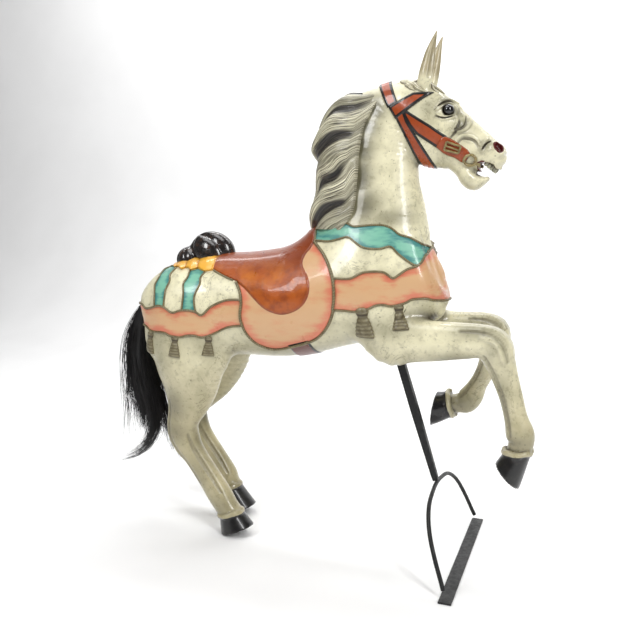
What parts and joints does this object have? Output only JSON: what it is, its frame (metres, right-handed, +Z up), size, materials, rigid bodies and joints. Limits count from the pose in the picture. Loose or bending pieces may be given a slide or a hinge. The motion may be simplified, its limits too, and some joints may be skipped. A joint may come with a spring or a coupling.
{
  "type": "carousel horse",
  "caption": "Carved and painted wooden carousel horse rearing on its hind hooves, with a horsehair tail, held up by a leaning steel rod on a bow and flat foot.",
  "frame": {"origin": "floor level, at the centre of the bounding box of the horse with its stand", "axes": "+X the way the horse faces, +Y to the horse's left, +Z up"},
  "size_m": [1.4662, 0.62, 1.6034],
  "materials": {
    "painted_wood": "aged glossy paint, mostly ivory",
    "horsehair": "real black horsehair",
    "stand_steel": "satin black"
  },
  "bodies": {
    "root": {"horse": "painted_wood", "tail": "horsehair", "stand_rod": "stand_steel", "stand_bow": "stand_steel", "stand_foot": "stand_steel"}
  },
  "joints": []
}
